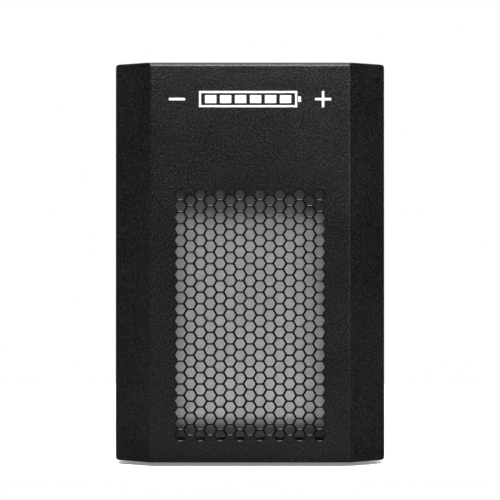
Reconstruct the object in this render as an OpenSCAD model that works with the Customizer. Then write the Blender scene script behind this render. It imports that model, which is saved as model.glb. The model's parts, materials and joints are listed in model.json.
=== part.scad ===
// Tower battery cabinet: six sealed 12 V blocks in a steel case behind a moulded front bezel.
// Origin at the floor under the middle of the cabinet. The bezel faces -Y, the panel with the sockets +Y.

/* [Case] */
// Width of the bezel
body_w = 144; // [144:2:152]
// Height of the bezel
bezel_h = 212; // [212:2:224]
// Depth from the bezel's face to the rear panel's outer face
body_d = 350; // [350:2:370]
// Height of the bezel's lower edge above the floor
bezel_lift = 2; // [1.5:0.5:2.5]
// Thickness of the steel sheets
sheet = 1; // [0.8:0.1:1]

/* [Bezel] */
// Width of each slanted side, seen from the front
slant_w = 19.2; // [15:0.1:19.4]
// Depth of each slanted side
slant_d = 16; // [13:0.5:16.5]
// Wall thickness
bezel_wall = 2.5; // [2:0.1:2.8]
// Radius of the four outer corners
corner_r = 3; // [1:0.5:4]

/* [Grille] */
// Width of one hexagonal hole across its flats
hex_af = 5; // [4.6:0.1:5.5]
// Spacing of the holes down a column
hex_pitch = 6.08; // [6:0.02:6.2]
// Number of columns, an odd number
hex_cols = 15; // [9:2:15]
// Number of holes in the outermost column
hex_rows = 22; // [14:1:22]

/* [Switch] */
// Angle the breaker's handle leans from straight out
handle_lean = 25; // [20:1:28]

/* [Hidden] */
$fn = 48;

eps = 0.1;
rear_reach = 10;
front_y = -(body_d + rear_reach) / 2;
rear_y = front_y + body_d;
bezel_top = bezel_lift + bezel_h;
bezel_depth = 30;
bezel_rear = front_y + bezel_depth;
panel_in = rear_y - sheet;

cover_x = body_w / 2 - 1;
cover_in = cover_x - sheet;
cover_z = 5;
cover_top = bezel_top - 2;
cover_front = bezel_rear + 0.5;

tray_x = cover_in - 0.1;
nose_x = body_w / 2 - bezel_wall - 1.5;
floor_top = cover_z + sheet;
wall_top = 163;
wall_rear = rear_y - 14;
plate_y = front_y + 19;
plate_z = 15;
plate_top = cover_top - sheet - 0.1;
lip_z = 19.6;

hex_step = hex_pitch * sqrt(3) / 2;
grille_low = bezel_lift + 14.3;
grille_half = (hex_cols - 1) / 2 * hex_step + hex_af / 2 + 2.5;
grille_h = (hex_rows - 1) * hex_pitch;
hook_x = 54;
hook_zs = [42, 190];

batt = [65, 94, 151];
batt_gap = 3;
lid_d = 8;
pad_top = floor_top + 2;
batt_top = pad_top + batt.z;
row_pitch = 107;
batt_x = (batt.x + batt_gap) / 2;
term_x = 22;
term_z = batt_top - 14;

foot_r = 9;
foot_ys = [front_y + 50, rear_y - 20];
foot_x = 55;

breaker = [63, 52, 38];
breaker_x = -25;
breaker_z = 186;
breaker_rear = panel_in - breaker.y;
pivot_y = panel_in - 5;
pole_z = 9.5;
stud_x = 18;
lug_ys = [breaker_rear - 3.8, breaker_rear - 5.1];
line_x = breaker_x - stud_x;
load_x = breaker_x + stud_x;
plus_z = breaker_z + pole_z;
minus_z = breaker_z - pole_z;

conn = [36.5, 48, 16];
conn_x = 42.75;
conn_front = rear_y + rear_reach;
conn_rear = conn_front - conn.y;
conn_low = 168;
conn_zs = [conn_low, conn_low + conn.z + 1.5];
pole_x = 8.5;
conn_hole_x = 15.6;
conn_hole_y = conn_rear + 9;

earth_x = -52;
earth_z = 138;
earth_r = 2.5;

cover_screw_spots = [[front_y + 50, 12], [rear_y - 40, 12], [rear_y - 7, 60], [rear_y - 7, 150]];
plate_screw_spots = [for (x = [-62, 62], z = [60, 150]) [x, z]];
rear_screw_xs = [-56, 0, 56];
breaker_screw_spots = [for (x = [-26, 26], z = [-pole_z, pole_z]) [breaker_x + x, breaker_z + z]];
bracket_screw_spots = [for (x = [18.5, 66], z = [176, 194]) [x, z]];
clamp_ys = [row_y(0) + 47, row_y(2) + 17];

wire_r = 1.9;
low_lane = batt_top + 3.5;
bar_lane = wall_top + 7;
high_lane = wall_top + 15;
riser_x = -20;
riser_y = breaker_rear - 27;
// Each ring lug: its stud's x and z, the angle its wire leaves at, and its place in the stack
lug_spots = [[line_x, plus_z, 150, 0], [line_x, plus_z, 200, 1],
  [line_x, minus_z, 160, 0], [line_x, minus_z, 210, 1],
  [load_x, plus_z, 30, 0], [load_x, plus_z, -20, 1],
  [load_x, minus_z, 20, 0], [load_x, minus_z, -30, 1]];

function row_y(i) = front_y + 24 + i * row_pitch;
function lid_y(i) = row_y(i) + batt.y;
function unit(v) = v / norm(v);

function corner_arc(cx, cy, r, a0, n) =
  [for (k = [0:n]) [cx + r * cos(a0 + 90 * k / n), cy + r * sin(a0 + 90 * k / n)]];

function rounded_rect(w, h, r, n = 4) = concat(
  corner_arc(w / 2 - r, h / 2 - r, r, 0, n),
  corner_arc(r - w / 2, h / 2 - r, r, 90, n),
  corner_arc(r - w / 2, r - h / 2, r, 180, n),
  corner_arc(w / 2 - r, r - h / 2, r, 270, n));

function smooth_path(p, r) = [
  for (i = [0:len(p) - 1])
    let (end = i == 0 || i == len(p) - 1)
    for (t = end ? [0] : [0:0.2:1])
      end ? p[i] :
        let (a = p[i] + unit(p[i - 1] - p[i]) * r, b = p[i] + unit(p[i + 1] - p[i]) * r)
        a * (1 - t) * (1 - t) + p[i] * 2 * t * (1 - t) + b * t * t];

function tangent(p, i) = unit(p[min(i + 1, len(p) - 1)] - p[max(i - 1, 0)]);

function ring_side(p, i) = i == 0
  ? unit(cross(tangent(p, 0), abs(tangent(p, 0).x) > 0.6 ? [0, 1, 0] : [1, 0, 0]))
  : let (s = ring_side(p, i - 1), t = tangent(p, i)) unit(s - t * (s * t));

module cable(points, bend = 7) {
  path = smooth_path(points, bend);
  sides = 8;
  rings = len(path);
  verts = [for (i = [0:rings - 1])
    let (t = tangent(path, i), s = ring_side(path, i), u = cross(t, s))
    for (k = [0:sides - 1]) path[i] + wire_r * (s * cos(45 * k) + u * sin(45 * k))];
  faces = concat(
    [[for (k = [0:sides - 1]) k]],
    [for (i = [0:rings - 2]) for (k = [0:sides - 1])
      let (a = i * sides + k, b = i * sides + (k + 1) % sides)
      [a, a + sides, b + sides, b]],
    [[for (k = [sides - 1:-1:0]) (rings - 1) * sides + k]]);
  polyhedron(verts, faces, convexity = 6);
}

module box(x0, x1, y0, y1, z0, z1) {
  translate([x0, y0, z0]) cube([x1 - x0, y1 - y0, z1 - z0]);
}

module both_sides() {
  children();
  mirror([1, 0, 0]) children();
}

module screw(r, length, head_r, head_h) {
  difference() {
    union() {
      cylinder(r = head_r, h = head_h);
      translate([0, 0, -length]) cylinder(r = r, h = length + head_h / 2);
    }
    for (a = [0, 90])
      rotate([0, 0, a]) translate([-head_r * 0.55, -0.4, head_h * 0.45])
        cube([head_r * 1.1, 0.8, head_h]);
  }
}

module bore_y(x, z, r, y0, y1) {
  translate([x, y1, z]) rotate([90, 0, 0]) cylinder(r = r, h = y1 - y0);
}

module bore_x(y, z, r, x0, x1) {
  translate([x0, y, z]) rotate([0, 90, 0]) cylinder(r = r, h = x1 - x0);
}

// Front bezel

function bezel_plan(t) =
  let (a = atan(slant_d / slant_w), x = body_w / 2,
    side_y = front_y + slant_d + t * cos(a) / (1 + sin(a)),
    face_x = x - slant_w - t * tan(a / 2))
  [[x - t, bezel_rear + (t > 0 ? 1 : 0)], [x - t, side_y], [face_x, front_y + t],
    [-face_x, front_y + t], [t - x, side_y], [t - x, bezel_rear + (t > 0 ? 1 : 0)]];

module grille_holes() {
  for (i = [0:hex_cols - 1])
    let (odd = i % 2)
    for (j = [0:hex_rows - 1 - odd])
      translate([(i - (hex_cols - 1) / 2) * hex_step, grille_low + (j + odd / 2) * hex_pitch])
        circle(r = hex_af / sqrt(3), $fn = 6);
}

module snap_hook(z) {
  box(hook_x - 1.5, hook_x + 1.5, front_y + bezel_wall - eps, plate_y + 2.5, z - 5, z + 5);
  box(hook_x + 1, hook_x + 2.6, plate_y + sheet + 0.3, plate_y + 2.5, z - 5, z + 5);
}

module front_bezel() {
  color([0.06, 0.06, 0.06]) difference() {
    union() {
      difference() {
        intersection() {
          translate([0, 0, bezel_lift]) linear_extrude(bezel_h) polygon(bezel_plan(0));
          translate([0, bezel_rear + 1, bezel_lift + bezel_h / 2]) rotate([90, 0, 0])
            linear_extrude(bezel_depth + 2) polygon(rounded_rect(body_w, bezel_h, corner_r, 6));
        }
        translate([0, 0, bezel_lift + bezel_wall])
          linear_extrude(bezel_h - 2 * bezel_wall) polygon(bezel_plan(bezel_wall));
      }
      both_sides() {
        for (z = hook_zs) snap_hook(z);
        box(grille_half, grille_half + 1.5, front_y + bezel_wall - eps, front_y + 7,
          grille_low - 6, grille_low + grille_h + 6);
      }
      box(-grille_half, grille_half, front_y + bezel_wall - eps, front_y + 7,
        grille_low + grille_h + 4.5, grille_low + grille_h + 6);
    }
    translate([0, front_y + bezel_wall + 1, 0]) rotate([90, 0, 0])
      linear_extrude(bezel_wall + 2) grille_holes();
  }
}

// Steel case

module outer_cover() {
  color([0.07, 0.07, 0.08]) difference() {
    box(-cover_x, cover_x, cover_front, rear_y, cover_z, cover_top);
    box(-cover_in, cover_in, cover_front - 1, rear_y + 1, cover_z - 1, cover_top - sheet);
    for (k = [0:7])
      box(-cover_x - 1, cover_x + 1, rear_y - 150 + k * 12, rear_y - 145 + k * 12, 172, 196);
    for (s = cover_screw_spots) bore_x(s[0], s[1], 2, -cover_x - 1, cover_x + 1);
  }
}

module base_tray() {
  color([0.13, 0.13, 0.14]) difference() {
    union() {
      box(-tray_x, tray_x, cover_front + 1, wall_rear, cover_z, floor_top);
      box(-nose_x, nose_x, plate_y + 2 * sheet, cover_front + 2, cover_z, floor_top);
      box(-nose_x + 1, nose_x - 1, wall_rear - 1, panel_in, cover_z, floor_top);
      box(-nose_x + 1, nose_x - 1, panel_in - sheet, panel_in, cover_z, 20);
      box(-nose_x, nose_x, plate_y + 2 * sheet, plate_y + 3 * sheet, cover_z, plate_z);
      box(-nose_x, nose_x, plate_y - sheet, plate_y + 3 * sheet, plate_z - sheet, plate_z);
      box(-nose_x, nose_x, plate_y - sheet, plate_y, plate_z - sheet, lip_z);
      both_sides() {
        box(tray_x - sheet, tray_x, cover_front + 1, wall_rear, cover_z, wall_top);
        box(tray_x - 8, tray_x, cover_front + 1, wall_rear, wall_top - sheet, wall_top);
        box(nose_x - sheet, tray_x, cover_front + 1, cover_front + 1 + sheet, cover_z, wall_top);
        box(nose_x - sheet, nose_x, plate_y + sheet, cover_front + 2, cover_z, wall_top);
        box(nose_x - 9, nose_x, plate_y + sheet, plate_y + 2 * sheet, plate_z, wall_top);
      }
    }
    for (s = cover_screw_spots) bore_x(s[0], s[1], 2, -cover_x, cover_x);
    for (s = plate_screw_spots) bore_y(s[0], s[1], 1.6, plate_y - 1, plate_y + 3);
    for (x = rear_screw_xs) bore_y(x, 13, 2, panel_in - 4, panel_in + 1);
    for (x = [-foot_x, foot_x], y = foot_ys) translate([x, y, 4]) cylinder(r = 1.6, h = 4);
    for (x = [-66, 66], y = clamp_ys) translate([x, y, wall_top - 4]) cylinder(r = 2, h = 6);
  }
}

module access_plate() {
  color([0.62, 0.63, 0.63]) difference() {
    union() {
      box(0.5 - nose_x, nose_x - 0.5, plate_y, plate_y + sheet, plate_z, plate_top);
      box(0.5 - nose_x, nose_x - 0.5, plate_y, plate_y + 22, plate_top - sheet, plate_top);
    }
    for (s = plate_screw_spots) bore_y(s[0], s[1], 1.7, plate_y - 1, plate_y + 2);
    both_sides() for (z = hook_zs)
      box(hook_x - 2, hook_x + 3, plate_y - 1, plate_y + 2, z - 5.6, z + 5.6);
  }
}

module rear_panel() {
  px = cover_in - 0.2;
  color([0.08, 0.08, 0.09]) difference() {
    union() {
      box(-px, px, panel_in, rear_y, cover_z + 0.3, cover_top - sheet - 0.2);
      both_sides() box(px - sheet, px, rear_y - 13, rear_y, cover_z + 2, cover_top - sheet - 0.2);
      box(-px, px, rear_y - 13, rear_y, cover_top - 2 * sheet - 0.2, cover_top - sheet - 0.2);
    }
    for (s = cover_screw_spots) bore_x(s[0], s[1], 2, -cover_x, cover_x);
    for (x = rear_screw_xs) bore_y(x, 13, 2, panel_in - 1, rear_y + 1);
    for (s = breaker_screw_spots) bore_y(s[0], s[1], 1.7, panel_in - 1, rear_y + 1);
    for (s = bracket_screw_spots) bore_y(s[0], s[1], 1.7, panel_in - 1, rear_y + 1);
    bore_y(earth_x, earth_z, earth_r + 0.1, panel_in - 1, rear_y + 1);
    box(breaker_x - 20.3, breaker_x + 20.3, panel_in - 1, rear_y + 1, breaker_z - 15.3, breaker_z + 15.3);
    box(conn_x - conn.x / 2 - 0.5, conn_x + conn.x / 2 + 0.5, panel_in - 1, rear_y + 1,
      conn_low - 0.5, conn_zs[1] + conn.z + 0.5);
    for (x = [-34, 34], k = [0:8])
      box(x - 22, x + 22, panel_in - 1, rear_y + 1, 36 + k * 9, 39 + k * 9);
  }
}

module access_plate_screws() {
  color([0.75, 0.75, 0.76]) for (s = plate_screw_spots)
    translate([s[0], plate_y, s[1]]) rotate([90, 0, 0]) screw(1.5, 4, 3, 1.8);
}

module rear_panel_screws() {
  color([0.75, 0.75, 0.76]) for (x = rear_screw_xs)
    translate([x, rear_y, 13]) rotate([-90, 0, 0]) screw(1.9, 7, 3.8, 2.2);
}

module cover_screws() {
  color([0.1, 0.1, 0.1]) both_sides() for (s = cover_screw_spots)
    translate([cover_x, s[0], s[1]]) rotate([0, 90, 0]) screw(1.9, 3, 3.8, 1);
}

module foot(x, y) {
  color([0.05, 0.05, 0.05]) translate([x, y, 0]) rotate_extrude()
    polygon([[1.6, 3], [4.5, 3], [4.5, 0], [foot_r - 1, 0], [foot_r - 0.4, 0.6],
      [foot_r + 1, cover_z], [1.6, cover_z]]);
}

module foot_front_left() { foot(-foot_x, foot_ys[0]); }
module foot_front_right() { foot(foot_x, foot_ys[0]); }
module foot_rear_left() { foot(-foot_x, foot_ys[1]); }
module foot_rear_right() { foot(foot_x, foot_ys[1]); }

module foot_screws() {
  color([0.7, 0.7, 0.7]) for (x = [-foot_x, foot_x], y = foot_ys)
    translate([x, y, 3]) rotate([180, 0, 0]) screw(1.5, 4.4, 3.4, 1.8);
}

// Circuit breaker

module breaker_body() {
  top_z = breaker.z / 2;
  color([0.1, 0.1, 0.11]) translate([breaker_x, 0, breaker_z]) difference() {
    union() {
      box(-breaker.x / 2, breaker.x / 2, breaker_rear, panel_in, -top_z, top_z);
      box(-20, 20, panel_in - 1, rear_y + 2, -15, 15);
    }
    for (z = [-pole_z, pole_z]) {
      translate([0, pivot_y, z - 4.5]) cylinder(r = 7, h = 9);
      box(-7, 7, pivot_y, rear_y + 3, z - 4.5, z + 4.5);
    }
    translate([0, pivot_y, 0.4 - top_z + 1]) cylinder(r = 1.55, h = breaker.z - 2.8);
    for (x = [-26, 26], z = [-pole_z, pole_z]) bore_y(x, z, 1.6, panel_in - 9, panel_in + 1);
    for (x = [-stud_x, stud_x], z = [-pole_z, pole_z])
      bore_y(x, z, 2.6, breaker_rear - 1, breaker_rear + 6);
    for (x = [-breaker.x / 2, breaker.x / 2])
      box(x - 0.6, x + 0.6, breaker_rear + 4, panel_in - 4, -0.4, 0.4);
    box(-breaker.x / 2 - 1, breaker.x / 2 + 1, breaker_rear - 1, breaker_rear + 1.5, -0.6, 0.6);
  }
}

module breaker_toggle() {
  color([0.75, 0.75, 0.72]) translate([breaker_x, pivot_y, breaker_z]) {
    translate([0, 0, 1.8 - breaker.z / 2]) cylinder(r = 1.5, h = breaker.z - 3.6);
    rotate([0, 0, handle_lean]) {
      for (z = [-pole_z, pole_z]) {
        translate([0, 0, z - 4]) cylinder(r = 6.4, h = 8);
        box(-1.9, 1.9, 0, 15.6, z - 4, z + 4);
      }
      box(-1.4, 1.4, 12, 15, -pole_z, pole_z);
    }
  }
}

module breaker_screws() {
  color([0.75, 0.75, 0.76]) for (s = breaker_screw_spots)
    translate([s[0], rear_y, s[1]]) rotate([-90, 0, 0]) screw(1.5, 8, 2.9, 1.8);
}

module breaker_studs() {
  color([0.8, 0.68, 0.35]) for (x = [-stud_x, stud_x], z = [-pole_z, pole_z])
    translate([breaker_x + x, 0, breaker_z + z]) {
      bore_y(0, 0, 2.5, breaker_rear - 14, breaker_rear + 5.5);
      translate([0, breaker_rear, 0]) rotate([90, 0, 0]) cylinder(r = 4.6, h = 3, $fn = 6);
    }
}

module breaker_nuts() {
  color([0.78, 0.78, 0.79]) for (x = [-stud_x, stud_x], z = [-pole_z, pole_z])
    translate([breaker_x + x, breaker_rear - 6, breaker_z + z]) rotate([90, 0, 0])
      difference() {
        cylinder(r = 4.6, h = 4, $fn = 6);
        translate([0, 0, -1]) cylinder(r = 2.55, h = 6);
      }
}

// Battery connectors

module connector_housing(z0) {
  zc = z0 + conn.z / 2;
  color([0.35, 0.36, 0.38]) difference() {
    box(conn_x - conn.x / 2, conn_x + conn.x / 2, conn_rear, conn_front, z0, z0 + conn.z);
    for (s = [-1, 1]) {
      x = conn_x + s * pole_x;
      box(x - 6.4, x + 6.4, conn_front - 30, conn_front + 1, zc - 5.6, zc + 5.6);
      bore_y(x, zc, 4.2, conn_rear - 1, conn_front - 29);
      translate([conn_x + s * conn_hole_x, conn_hole_y, z0 - 1]) cylinder(r = 1.6, h = conn.z + 2);
    }
    box(conn_x - 1.2, conn_x + 1.2, conn_front - 14, conn_front + 1, z0 + conn.z - 2, z0 + conn.z + 1);
    translate([conn_x, 0, 0]) both_sides()
      box(conn.x / 2 - 1.2, conn.x / 2 + 1, conn_front - 26, conn_front - 22, z0 - 1, z0 + conn.z + 1);
  }
}

module connector_housing_upper() { connector_housing(conn_zs[1]); }
module connector_housing_lower() { connector_housing(conn_zs[0]); }

module connector_contacts() {
  color([0.8, 0.8, 0.78]) for (z0 = conn_zs, s = [-1, 1])
    translate([conn_x + s * pole_x, 0, z0 + conn.z / 2]) difference() {
      union() {
        bore_y(0, 0, 4.1, conn_rear + 1, conn_front - 26);
        box(-4, 4, conn_front - 27, conn_front - 5, -4, -1.6);
      }
      bore_y(0, 0, 2.1, conn_rear, conn_rear + 10);
    }
}

module connector_bracket() {
  left = 22;
  right = 62;
  color([0.62, 0.63, 0.63]) difference() {
    union() {
      box(left, right + 1.5, conn_rear + 2, panel_in, conn_zs[0] + conn.z, conn_zs[1]);
      box(left, left + 1.5, conn_rear + 14, panel_in, conn_low, conn_zs[1] + conn.z);
      box(right, right + 1.5, conn_rear + 14, panel_in, conn_low, conn_zs[1] + conn.z);
      box(14.5, left + 1.5, panel_in - 1.5, panel_in, conn_low, conn_zs[1] + conn.z);
      box(right, 68.5, panel_in - 1.5, panel_in, conn_low, conn_zs[1] + conn.z);
    }
    for (s = bracket_screw_spots) bore_y(s[0], s[1], 1.6, panel_in - 3, panel_in + 1);
    for (s = [-1, 1])
      translate([conn_x + s * conn_hole_x, conn_hole_y, conn_low]) cylinder(r = 1.6, h = 2 * conn.z);
  }
}

module connector_bracket_screws() {
  color([0.75, 0.75, 0.76]) for (s = bracket_screw_spots)
    translate([s[0], rear_y, s[1]]) rotate([-90, 0, 0]) screw(1.5, 5, 2.9, 1.8);
}

module connector_screws() {
  color([0.75, 0.75, 0.76]) for (s = [-1, 1])
    translate([conn_x + s * conn_hole_x, conn_hole_y, conn_zs[1] + conn.z])
      screw(1.5, 2 * conn.z + 5, 2.8, 1.8);
}

module connector_nuts() {
  color([0.78, 0.78, 0.79]) for (s = [-1, 1])
    translate([conn_x + s * conn_hole_x, conn_hole_y, conn_low - 2.4]) difference() {
      cylinder(r = 3.1, h = 2.4, $fn = 6);
      translate([0, 0, -1]) cylinder(r = 1.55, h = 5);
    }
}

// Earth stud

module earth_stud() {
  color([0.78, 0.78, 0.79]) {
    bore_y(earth_x, earth_z, 2 * earth_r, panel_in - 1.5, panel_in);
    bore_y(earth_x, earth_z, earth_r, panel_in - 0.5, rear_y + 4);
    bore_y(earth_x, earth_z, earth_r - 0.4, rear_y + 3, rear_y + 6);
    bore_y(earth_x, earth_z, earth_r, rear_y + 5, rear_y + rear_reach);
  }
}

module earth_washer() {
  color([0.78, 0.78, 0.79]) translate([earth_x, rear_y + 1, earth_z]) rotate([90, 0, 0])
    difference() {
      cylinder(r = 2 * earth_r, h = 1);
      translate([0, 0, -1]) cylinder(r = earth_r + 0.15, h = 3);
    }
}

module earth_nut() {
  color([0.78, 0.78, 0.79]) translate([earth_x, rear_y + 4, earth_z]) rotate([90, 0, 0])
    difference() {
      cylinder(r = 4.6, h = 3, $fn = 6);
      translate([0, 0, -1]) cylinder(r = earth_r + 0.05, h = 5);
    }
}

// Batteries, numbered 1 to 3 on the left from the front and 4 to 6 on the right

module at_battery(n) {
  translate([n > 3 ? batt_x : -batt_x, row_y((n - 1) % 3), pad_top + batt.z / 2]) children();
}

module slab_y(y0, y1, w, h, r) {
  translate([0, y1, 0]) rotate([90, 0, 0]) linear_extrude(y1 - y0) polygon(rounded_rect(w, h, r));
}

module battery_case(n) {
  color([0.16, 0.17, 0.19]) at_battery(n) slab_y(0, batt.y - lid_d, batt.x, batt.z, 2);
}

module battery_lid(n) {
  tz = term_z - pad_top - batt.z / 2;
  color([0.13, 0.14, 0.15]) at_battery(n) difference() {
    union() {
      slab_y(batt.y - lid_d, batt.y - lid_d + 1.2, batt.x - 1.4, batt.z - 1.4, 1.5);
      slab_y(batt.y - lid_d + 1, batt.y, batt.x, batt.z, 2);
    }
    for (x = [-term_x, term_x]) box(x - 6, x + 6, batt.y - 4, batt.y + 1, tz - 5, tz + 5);
    box(-12, 12, batt.y - 0.8, batt.y + 1, -60, 45);
  }
}

module battery_terminals(n) {
  tz = term_z - pad_top - batt.z / 2;
  color([0.8, 0.8, 0.78]) at_battery(n) for (x = [-term_x, term_x]) {
    box(x - 4.5, x + 4.5, batt.y - 4, batt.y - 2.5, tz - 3.5, tz + 3.5);
    box(x - 3.15, x + 3.15, batt.y - 3, batt.y + 6, tz - 0.4, tz + 0.4);
  }
}

module battery_case_1() { battery_case(1); }
module battery_case_2() { battery_case(2); }
module battery_case_3() { battery_case(3); }
module battery_case_4() { battery_case(4); }
module battery_case_5() { battery_case(5); }
module battery_case_6() { battery_case(6); }
module battery_lid_1() { battery_lid(1); }
module battery_lid_2() { battery_lid(2); }
module battery_lid_3() { battery_lid(3); }
module battery_lid_4() { battery_lid(4); }
module battery_lid_5() { battery_lid(5); }
module battery_lid_6() { battery_lid(6); }
module battery_terminals_1() { battery_terminals(1); }
module battery_terminals_2() { battery_terminals(2); }
module battery_terminals_3() { battery_terminals(3); }
module battery_terminals_4() { battery_terminals(4); }
module battery_terminals_5() { battery_terminals(5); }
module battery_terminals_6() { battery_terminals(6); }

// Pads and clamps

module base_pad() {
  color([0.2, 0.2, 0.2]) difference() {
    box(-66, 66, row_y(0), lid_y(2), floor_top, pad_top);
    for (x = [-foot_x, foot_x], y = foot_ys) translate([x, y, floor_top - 1]) cylinder(r = 3, h = 4);
  }
}

module front_pad() {
  color([0.2, 0.2, 0.2]) box(-48, 48, plate_y + sheet, row_y(0), 30, 150);
}

module row_spacer(i) {
  color([0.2, 0.2, 0.2]) box(-60, 60, lid_y(i), row_y(i + 1), 20, 125);
}

module row_spacer_front() { row_spacer(0); }
module row_spacer_rear() { row_spacer(1); }

module clamp_bar(y) {
  color([0.62, 0.63, 0.63]) difference() {
    box(0.5 - tray_x, tray_x - 0.5, y - 10, y + 10, wall_top, wall_top + 1.5);
    for (x = [-66, 66]) translate([x, y, wall_top - 1]) cylinder(r = 2.1, h = 4);
  }
}

module clamp_bar_front() { clamp_bar(clamp_ys[0]); }
module clamp_bar_rear() { clamp_bar(clamp_ys[1]); }

module clamp_pads() {
  color([0.2, 0.2, 0.2]) for (y = clamp_ys) box(-60, 60, y - 9, y + 9, batt_top, wall_top);
}

module clamp_screws() {
  color([0.75, 0.75, 0.76]) for (x = [-66, 66], y = clamp_ys)
    translate([x, y, wall_top + 1.5]) screw(1.9, 4, 3.4, 2.2);
}

// Wiring

module tab_receptacles() {
  color([0.7, 0.1, 0.08]) for (s = [-batt_x, batt_x], i = [0:2], t = [-term_x, term_x])
    translate([s + t, lid_y(i) + 0.3, term_z]) difference() {
      box(-4.5, 4.5, 0, 8, -4, 12);
      box(-3.4, 3.4, -1, 6.5, -0.7, 0.7);
      translate([0, 4.2, 5]) cylinder(r = 2.1, h = 8);
    }
}

module ring_lugs() {
  color([0.8, 0.8, 0.78]) for (s = lug_spots)
    translate([s[0], lug_ys[s[3]], s[1]]) rotate([0, -s[2], 0]) difference() {
      union() {
        bore_y(0, 0, 4.8, -0.6, 0.6);
        box(0, 9, -0.6, 0.6, -2.4, 2.4);
        translate([8, s[3] == 0 ? 0.6 : -0.6, 0]) rotate([0, 90, 0]) cylinder(r = 2.9, h = 8);
      }
      bore_y(0, 0, 2.65, -2, 2);
      translate([10, s[3] == 0 ? 0.6 : -0.6, 0]) rotate([0, 90, 0]) cylinder(r = 2.1, h = 8);
    }
}

function tab_out(side, i, t) = [side * batt_x + t * term_x, lid_y(i) + 4.5, term_z + 6];

function lug_wire(k, d) =
  let (s = lug_spots[k])
  [s[0] + d * cos(s[2]), lug_ys[s[3]] + (s[3] == 0 ? 0.6 : -0.6), s[1] + d * sin(s[2])];

function along(a, b, y, z) = [a.x + (b.x - a.x) * (y - a.y) / (b.y - a.y), y, z];

// The rear pair rise over the clamp bar
function jumper_path(side, i) =
  let (a = tab_out(side, i, 1), b = tab_out(side, i + 1, -1), bar_rear = clamp_ys[1] + 10)
  concat(
    [a, [a.x, a.y, i == 0 ? low_lane : bar_lane]],
    i == 0 ? [] : [along(a, b, bar_rear + 3, bar_lane), along(a, b, bar_rear + 19, low_lane)],
    [[b.x, b.y, low_lane], b]);

module series_jumpers() {
  color([0.1, 0.1, 0.1]) for (side = [-1, 1], i = [0:1]) cable(jumper_path(side, i));
}

module string_positive_leads() {
  right = tab_out(1, 2, 1);
  left = tab_out(-1, 2, 1);
  color([0.6, 0.05, 0.04]) {
    cable([right, [right.x, right.y, low_lane], [right.x, riser_y, low_lane],
      [riser_x, riser_y, low_lane], [riser_x, riser_y, plus_z + 7.5],
      [line_x - 19, riser_y + 2, plus_z + 11], lug_wire(0, 22), lug_wire(0, 11)], 5);
    cable([left, [left.x, left.y, low_lane], [breaker_x, breaker_rear + 12, low_lane],
      [breaker_x, breaker_rear - 8, low_lane], [breaker_x, breaker_rear - 10, breaker_z + 2],
      [breaker_x, breaker_rear - 19, breaker_z + 4], [line_x - 19, breaker_rear - 19, breaker_z + 3],
      lug_wire(1, 22), lug_wire(1, 11)], 4);
  }
}

module string_negative_leads() {
  left = tab_out(-1, 0, -1);
  right = tab_out(1, 0, -1);
  color([0.05, 0.05, 0.05]) {
    cable([left, [left.x, left.y, high_lane], [-64, lid_y(1), high_lane],
      [-64, breaker_rear - 16, minus_z + 7], lug_wire(2, 22), lug_wire(2, 11)], 5);
    cable([right, [right.x, right.y, high_lane], [-50, lid_y(1), high_lane],
      [-60, breaker_rear - 16, minus_z - 9], lug_wire(3, 22), lug_wire(3, 11)], 5);
  }
}

module output_leads() {
  ends = [for (s = [-1, 1], z0 = [conn_zs[1], conn_zs[0]])
    [conn_x + s * pole_x, conn_rear + 9, z0 + conn.z / 2]];
  lanes = [4, -1.5, -13, -18.5];
  color([0.12, 0.12, 0.12]) for (k = [0:3]) {
    e = ends[k];
    lane = breaker_rear + lanes[k];
    out = lug_wire(4 + k, 22);
    cable([lug_wire(4 + k, 11), out, [out.x + 6, lane, out.z], [e.x, lane, e.z], e], 4);
  }
}

front_bezel();
outer_cover();
base_tray();
access_plate();
rear_panel();
access_plate_screws();
rear_panel_screws();
cover_screws();
foot_front_left();
foot_front_right();
foot_rear_left();
foot_rear_right();
foot_screws();
breaker_body();
breaker_toggle();
breaker_screws();
breaker_studs();
breaker_nuts();
connector_housing_upper();
connector_housing_lower();
connector_contacts();
connector_bracket();
connector_bracket_screws();
connector_screws();
connector_nuts();
earth_stud();
earth_washer();
earth_nut();
battery_case_1();
battery_case_2();
battery_case_3();
battery_case_4();
battery_case_5();
battery_case_6();
battery_lid_1();
battery_lid_2();
battery_lid_3();
battery_lid_4();
battery_lid_5();
battery_lid_6();
battery_terminals_1();
battery_terminals_2();
battery_terminals_3();
battery_terminals_4();
battery_terminals_5();
battery_terminals_6();
base_pad();
front_pad();
row_spacer_front();
row_spacer_rear();
clamp_bar_front();
clamp_bar_rear();
clamp_pads();
clamp_screws();
tab_receptacles();
series_jumpers();
string_positive_leads();
string_negative_leads();
output_leads();
ring_lugs();
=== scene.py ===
"""Looks of a tower battery pack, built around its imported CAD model. Metres, Z up, bezel towards -Y."""

import json
import math

import bmesh
import bpy
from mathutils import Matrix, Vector
from mathutils.geometry import delaunay_2d_cdt


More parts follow.
